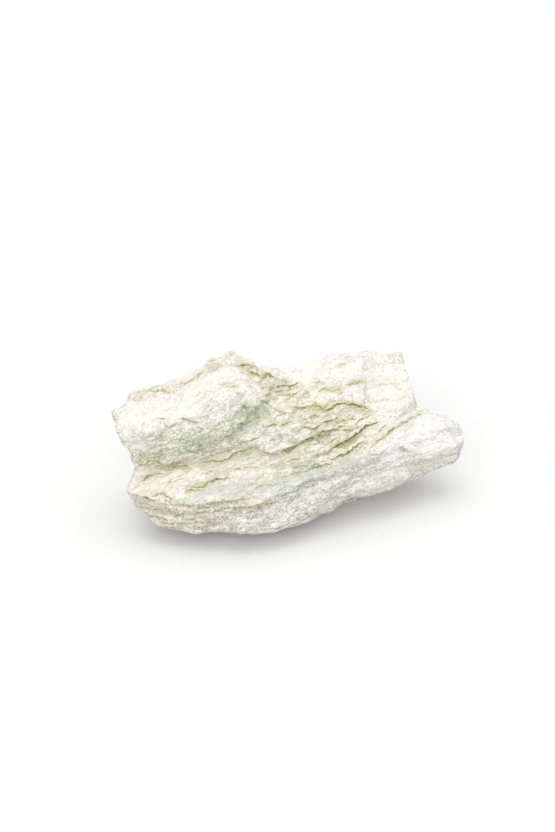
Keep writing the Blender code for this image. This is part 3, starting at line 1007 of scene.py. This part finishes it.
def bed_place_group():
    """Object coordinates along the drawn-out mica, beside it and up through the beds, so that textures can
    run with them."""
    inputs = {"Along": 1.0, "Across": 1.0}
    tree, given, result = new_group("bed_place", inputs, {"Place": "NodeSocketVector"})
    place = tree.nodes.new("ShaderNodeTexCoord").outputs["Object"]
    parts = add(tree, "ShaderNodeSeparateXYZ", {0: place}).outputs
    turn = {"Vector": place, "Angle": -DRAWN_OUT}
    turned = add(tree, "ShaderNodeVectorRotate", turn, rotation_type="Z_AXIS").outputs[0]
    flat = add(tree, "ShaderNodeSeparateXYZ", {0: turned}).outputs
    rise = math_node(tree, "MULTIPLY", parts["Y"], BED_RISE)
    from_fold = math_node(tree, "SUBTRACT", parts["X"], MM_FOLD_AT * MM)
    drop = math_node(tree, "DIVIDE", times(tree, from_fold, from_fold), 2 * MM_FOLD_RADIUS * MM)
    height = math_node(tree, "ADD", math_node(tree, "SUBTRACT", parts["Z"], rise), drop)
    joined = add(tree, "ShaderNodeCombineXYZ", {
        "X": times(tree, flat["X"], given["Along"]),
        "Y": flat["Y"],
        "Z": times(tree, height, given["Across"]),
    }).outputs[0]
    tree.links.new(joined, result["Place"])
    return tree


def packed(tree, bed_place, given):
    """Places along the beds, packed along and across as a group is given."""
    inputs = {"Along": given["Along"], "Across": given["Across"]}
    return add(tree, "ShaderNodeGroup", inputs, node_tree=bed_place).outputs["Place"]


def bed_step_group(bed_place):
    """Broken edges of thin beds: thin wavy lines that run with the beds for a painted shadow under each
    edge, a band beside them for a painted highlight on its lip, and the step up beside them for the bump.
    """
    tree, given, result = new_group(
        "bed_steps",
        {"Size": 1.0, "Along": 0.3, "Across": 3.0, "Width": 0.04},
        dict.fromkeys(("Line", "Highlight_Lip", "Step"), "NodeSocketFloat"),
    )
    noise = add(tree, "ShaderNodeTexNoise", {
        "Vector": packed(tree, bed_place, given), "Scale": math_node(tree, "DIVIDE", 1.0, given["Size"]),
        "Detail": 4.0, "Roughness": 0.6, "Distortion": 0.4,
    }).outputs["Fac"]
    away = math_node(tree, "ABSOLUTE", math_node(tree, "SUBTRACT", noise, 0.5))
    share = math_node(tree, "DIVIDE", away, given["Width"])
    tree.links.new(span_down(tree, share, 0.4, 1.0), result["Line"])
    rise = span(tree, noise, 0.515, 0.54)
    past = span(tree, noise, 0.56, 0.60)
    tree.links.new(math_node(tree, "SUBTRACT", rise, past), result["Highlight_Lip"])
    tree.links.new(math_node(tree, "ADD", rise, noise), result["Step"])
    return tree


def flake_group(bed_place):
    """Flakes of mica drawn out along the beds: two values for each, one for its height and depth of colour
    and one for its hue."""
    tree, given, result = new_group(
        "mica_flakes",
        {"Size": 1.0, "Along": 0.4, "Across": 2.0},
        dict.fromkeys(("Value", "Hue"), "NodeSocketFloat"),
    )
    inputs = {0: packed(tree, bed_place, given), "Scale": math_node(tree, "DIVIDE", 1.0, given["Size"])}
    place = add(tree, "ShaderNodeVectorMath", inputs, operation="SCALE").outputs[0]
    waver = add(tree, "ShaderNodeTexNoise", {"Vector": place, "Scale": 1.3, "Detail": 2.0})
    bend = {0: waver.outputs["Color"], 1: (1.1, 1.1, 1.1), 2: place}
    bent = add(tree, "ShaderNodeVectorMath", bend, operation="MULTIPLY_ADD").outputs[0]
    flake = add(tree, "ShaderNodeTexVoronoi", {"Vector": bent, "Scale": 1.0}).outputs["Color"]
    values = add(tree, "ShaderNodeSeparateColor", {"Color": flake}).outputs
    tree.links.new(values["Red"], result["Value"])
    tree.links.new(values["Green"], result["Hue"])
    return tree


# ----------------------------------------
# The stone's finish


def thread_noise(tree, bed_place):
    """Threads drawn out along the mica."""
    place = add(tree, "ShaderNodeGroup", THREADS, node_tree=bed_place).outputs["Place"]
    bend_size = MM_THREAD_BEND * MM
    reach = times(tree, object_noise(tree, bend_size, detail=1.0), bend_size)
    bend = add(tree, "ShaderNodeCombineXYZ", {"Y": reach, "Z": reach}).outputs[0]
    bent = add(tree, "ShaderNodeVectorMath", {0: place, 1: bend}, operation="ADD").outputs[0]
    inputs = {"Vector": bent, "Scale": 1 / (MM_THREAD * MM), "Detail": 2.0, "Roughness": 0.6}
    return add(tree, "ShaderNodeTexNoise", inputs).outputs["Fac"]


def schist_patterns(tree):
    """The patterns that the finish is drawn with: bed edges, flakes, grit and threads, and shares of where
    the stone is steep, broken and smooth."""
    bed_place = bed_place_group()
    steps = bed_step_group(bed_place)
    flakes = flake_group(bed_place)
    look = SimpleNamespace()
    look.thin = add(tree, "ShaderNodeGroup", THIN_BEDS, node_tree=steps).outputs
    look.thick = add(tree, "ShaderNodeGroup", THICK_BEDS, node_tree=steps).outputs
    look.small = add(tree, "ShaderNodeGroup", SMALL_FLAKES, node_tree=flakes).outputs
    look.large = add(tree, "ShaderNodeGroup", LARGE_FLAKES, node_tree=flakes).outputs
    look.grit = add(tree, "ShaderNodeGroup", GRIT, node_tree=flakes).outputs
    look.thread = thread_noise(tree, bed_place)
    facing = tree.nodes.new("ShaderNodeNewGeometry").outputs["Normal"]
    upright = add(tree, "ShaderNodeSeparateXYZ", {0: facing}).outputs["Z"]
    # Steep faces, where the grain and the bed edges get more painted shade.
    look.steep = span(tree, upright, 0.95, 0.35)
    look.broken = mask(tree, "broken")
    smooth = math_node(tree, "MAXIMUM", mask(tree, "chalk"), mask(tree, "ivory"))
    look.calm = scaled(tree, smooth, -0.6, 1.0)
    patchy = scaled(tree, look.small["Value"], 0.5, times(tree, look.large["Value"], 0.4))
    look.patchy = math_node(tree, "ADD", patchy, 0.2, clamp=True)
    return look


def mica_layers(tree, finish, look):
    """Blush and green, broadly and flake by flake, and straw where the beds are broken."""
    blush = span(tree, object_noise(tree, 7 * MM, offset=(0.3, 0, 0)), 0.46, 0.66)
    green = span(tree, object_noise(tree, 11 * MM, offset=(0, 0.4, 0)), 0.52, 0.72)
    layers = [
        (times(tree, blush, 0.5), finish.blush, OVER),
        (times(tree, green, look.large["Value"], 0.2), finish.green, OVER),
    ]
    for flake, reach in ((look.large, 0.14), (look.small, 0.10)):
        layers.append((times(tree, span(tree, flake["Hue"], 0.5, 0.9), reach), finish.green, OVER))
        layers.append((times(tree, span(tree, flake["Hue"], 0.5, 0.1), 2 * reach), finish.blush, OVER))
    layers.append((times(tree, look.broken, 0.12), finish.straw_and_highlight, OVER))
    return layers


def stain_layers(tree, finish, look):
    """The stains and tints that are laid by place."""
    even = scaled(tree, look.patchy, 0.3, 0.5)
    specks = times(tree, look.patchy, span(tree, look.grit["Hue"], 0.35, 0.75))
    covers = {**dict.fromkeys(EVEN_TINTS, even), "fern": specks}
    layers = []
    for kind in STAINS:
        share = times(tree, mask(tree, kind), covers.get(kind, look.patchy))
        layers.append((share, getattr(finish, kind), OVER))
    return layers


def grain_and_steep_shade_layers(tree, finish, look):
    """Darker flakes, sugary grit and threads. The grit and the dark threads are laid darker on steep faces:
    painted shade for grain that grazing overhead light picks out there.
    """
    grit_and_steep_shade = times(tree, scaled(tree, look.steep, 0.48, 0.48), look.calm)
    return [
        (times(tree, look.large["Value"], 0.04), finish.slate, DARKEN),
        (times(tree, look.small["Value"], 0.08), finish.slate, DARKEN),
        (times(tree, span(tree, look.grit["Value"], 0.4, 1.0), grit_and_steep_shade), finish.grit, DARKEN),
        (times(tree, span(tree, look.thread, 0.5, 0.36), grit_and_steep_shade, 0.3), finish.grit, DARKEN),
        (times(tree, span(tree, look.thread, 0.56, 0.68), 0.3), finish.cream, OVER),
    ]


def bed_edge_shading_layers(tree, finish, look):
    """Painted shade and light at the edges of the beds: a dark line under each edge and a highlight on the
    thick beds' lips, strongest where the stone is steep or broken.
    """
    drawn = scaled(tree, math_node(tree, "MAXIMUM", look.steep, look.broken), 0.65, 0.15)
    drawn = times(tree, drawn, look.calm)
    return [
        (times(tree, look.thin["Line"], drawn, 0.35), finish.grit, DARKEN),
        (times(tree, look.thick["Line"], drawn, 0.45), finish.grit, DARKEN),
        (times(tree, look.thick["Highlight_Lip"], drawn, 0.15), finish.cream, OVER),
    ]


def dirt_and_shade_layers(tree, finish, look):
    """Olive stain and painted shade in what lies sunk, olive painted shadow lines along the bed edges, and a
    painted straw highlight on their lips.
    """
    worn = span(tree, object_noise(tree, 5 * MM, offset=(0, 0, 0.7)), 0.42, 0.6)
    dirt_and_shade = scaled(tree, look.broken, 0.15, scaled(tree, worn, 0.2, 0.05), clamp=True)
    dirt_and_shade = times(tree, dirt_and_shade, look.calm)
    # Painted shade, laid in olive with the stain: what lies sunk below the smoothed surface is darkened.
    sunk_stain_and_shade = span(tree, mask(tree, "edge"), -0.03, -0.13)
    return [
        (times(tree, sunk_stain_and_shade, dirt_and_shade, 0.8), finish.ochre, OVER),
        (times(tree, look.thick["Highlight_Lip"], dirt_and_shade, 0.5), finish.straw_and_highlight, OVER),
        (times(tree, look.thin["Line"], dirt_and_shade, 0.4), finish.ochre, OVER),
        (times(tree, look.thick["Line"], dirt_and_shade, 0.75), finish.ochre, OVER),
    ]


def ledge_stain_and_shading_layers(tree, finish):
    """The named crevices and cracks: a thin dark line of soot and painted shadow, stain around it and a
    painted highlight on the lip over it. Heights over the line are in millimetres."""
    # The stain mask also sets how strongly the painted shadow line and the painted lip highlight are laid.
    held = mask(tree, "stain")
    waver = scaled(tree, object_noise(tree, 1.0 * MM, detail=4.0, roughness=0.6), 1.8, -0.9)
    above = math_node(tree, "ADD", mask(tree, "above"), waver)
    from_line = math_node(tree, "ADD", above, 0.08)
    away = math_node(tree, "ABSOLUTE", from_line)
    patchy = span(tree, object_noise(tree, 1.2 * MM, detail=1.0, offset=(0.6, 0, 0)), 0.36, 0.52)
    near = span_down(tree, math_node(tree, "ABSOLUTE", above), 0.9, 1.9)
    repeat = math_node(tree, "PINGPONG", from_line, 0.42)
    echo = times(tree, span_down(tree, repeat, 0.03, 0.16), near, patchy)
    width = scaled(tree, mask(tree, "crevice"), 0.24, 0.09)
    # The dark core is soot and the painted shadow under the ledge; the lip is a painted highlight.
    soot_and_shadow_core = span_down(tree, math_node(tree, "DIVIDE", away, width), 0.4, 1.3)
    stained = span_down(tree, away, 0.15, 0.8)
    lip = times(tree, span(tree, above, 0.08, 0.2), span_down(tree, above, 0.3, 0.6))
    whole = scaled(tree, patchy, 0.3, 0.7)
    return [
        (times(tree, stained, held, 0.4), finish.ochre, OVER),
        (times(tree, lip, held, 0.7), finish.straw_and_highlight, OVER),
        (times(tree, echo, held, 0.5), finish.ochre, OVER),
        (times(tree, soot_and_shadow_core, held, whole), finish.soot_and_shadow, OVER),
    ]


def fine_relief(tree, look):
    """The normal over the fine bumps of bed edges, flakes, grit and threads."""
    heights = (
        (look.thin["Step"], 0.14),
        (look.large["Value"], 0.06),
        (look.small["Value"], 0.10),
        (look.grit["Value"], 0.12),
        (look.thread, 0.5),
    )
    rise = math_node(tree, "MULTIPLY", look.thick["Step"], 0.15)
    for height, share in heights:
        rise = scaled(tree, height, share, rise)
    bump = add(tree, "ShaderNodeBump", {"Strength": 1.0, "Distance": 0.5 * MM, "Height": rise})
    return bump.outputs["Normal"]


def schist_material(finish):
    material = bpy.data.materials.new("mica_schist_finish")
    material.use_nodes = True
    tree = material.node_tree
    look = schist_patterns(tree)
    layers = [
        *mica_layers(tree, finish, look),
        *stain_layers(tree, finish, look),
        *grain_and_steep_shade_layers(tree, finish, look),
        *bed_edge_shading_layers(tree, finish, look),
        *dirt_and_shade_layers(tree, finish, look),
        *ledge_stain_and_shading_layers(tree, finish),
    ]
    glint = span(tree, object_noise(tree, 0.7 * MM, detail=0.0), 0.62, 0.7)
    inputs = tree.nodes["Principled BSDF"].inputs
    tree.links.new(painted(tree, colour(finish.cream), layers), inputs["Base Color"])
    tree.links.new(scaled(tree, glint, -0.15, 0.65), inputs["Roughness"])
    tree.links.new(fine_relief(tree, look), inputs["Normal"])
    return material


# ----------------------------------------
# The stage


def floor_material(stage):
    material = bpy.data.materials.new("white_sweep")
    material.use_nodes = True
    inputs = material.node_tree.nodes["Principled BSDF"].inputs
    inputs["Base Color"].default_value = colour(stage.floor)
    inputs["Roughness"].default_value = 0.8
    inputs["Specular IOR Level"].default_value = 0.2
    return material


def white_room(scene, stage):
    world = bpy.data.worlds.new("white_room")
    world.use_nodes = True
    sky = world.node_tree.nodes["Background"]
    sky.inputs["Color"].default_value = (1, 1, 1, 1)
    sky.inputs["Strength"].default_value = stage.sky
    scene.world = world


def area_light(scene, name, place, power):
    light = bpy.data.lights.new(name, "AREA")
    light.shape = "DISK"
    light.size = LIGHT_SIZE
    light.energy = power
    lamp = bpy.data.objects.new(name, light)
    scene.collection.objects.link(lamp)
    lamp.location = place
    lamp.rotation_mode = "QUATERNION"
    lamp.rotation_quaternion = (Vector(LIGHT_AIM) - Vector(place)).to_track_quat("-Z", "Y")


def set_camera(scene, stage):
    place, _, _, forward = camera_axes(stage)
    camera = bpy.data.objects.new("camera", bpy.data.cameras.new("camera"))
    scene.collection.objects.link(camera)
    camera.data.lens = stage.lens
    camera.data.sensor_width = SENSOR
    camera.location = place
    camera.rotation_mode = "QUATERNION"
    camera.rotation_quaternion = forward.to_track_quat("-Z", "Y")
    scene.camera = camera


# ----------------------------------------
# Operators


class FUCHSITE_OT_stone(bpy.types.Operator):
    """Carve the stone out of its solid and colour it"""

    bl_idname = "fuchsite.stone"
    bl_label = "Carve Stone"

    def execute(self, context):
        scene = context.scene
        piece = carve_stone(scene.fuchsite_stone, scene.fuchsite_stage)
        piece.data.materials.clear()
        piece.data.materials.append(schist_material(scene.fuchsite_finish))
        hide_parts(NODE)
        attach(piece, BODY)
        return {"FINISHED"}


class FUCHSITE_OT_stage(bpy.types.Operator):
    """Lay the white floor, hang the lights and set the camera"""

    bl_idname = "fuchsite.stage"
    bl_label = "Set Stage"

    def execute(self, context):
        scene = context.scene
        stage = scene.fuchsite_stage
        bpy.ops.mesh.primitive_plane_add(size=FLOOR_SIZE, location=(0, 0, 0))
        floor = context.active_object
        floor.name = "floor"
        floor.data.materials.append(floor_material(stage))
        white_room(scene, stage)
        area_light(scene, "key", KEY_PLACE, stage.key)
        area_light(scene, "fill", FILL_PLACE, stage.fill)
        set_camera(scene, stage)
        scene.view_settings.view_transform = "Standard"
        return {"FINISHED"}


class FUCHSITE_PT_panel(bpy.types.Panel):
    """The stone's operators, in the order they run"""

    bl_idname = "FUCHSITE_PT_panel"
    bl_label = "Raw Fuchsite"
    bl_space_type = "VIEW_3D"
    bl_region_type = "UI"
    bl_category = "Fuchsite"

    def draw(self, context):
        for operator in OPERATORS:
            self.layout.operator(operator.bl_idname)


GROUPS = {
    "fuchsite_stone": StoneProperties,
    "fuchsite_finish": FinishProperties,
    "fuchsite_stage": StageProperties,
}
OPERATORS = (FUCHSITE_OT_stone, FUCHSITE_OT_stage)
CLASSES = (*GROUPS.values(), *OPERATORS, FUCHSITE_PT_panel)


def register():
    for cls in CLASSES:
        bpy.utils.register_class(cls)
    for name, group in GROUPS.items():
        setattr(bpy.types.Scene, name, PointerProperty(type=group))


def unregister():
    for name in GROUPS:
        delattr(bpy.types.Scene, name)
    for cls in reversed(CLASSES):
        bpy.utils.unregister_class(cls)


def main():
    register()
    bpy.ops.fuchsite.stone()
    bpy.ops.fuchsite.stage()


if __name__ == "__main__":
    main()
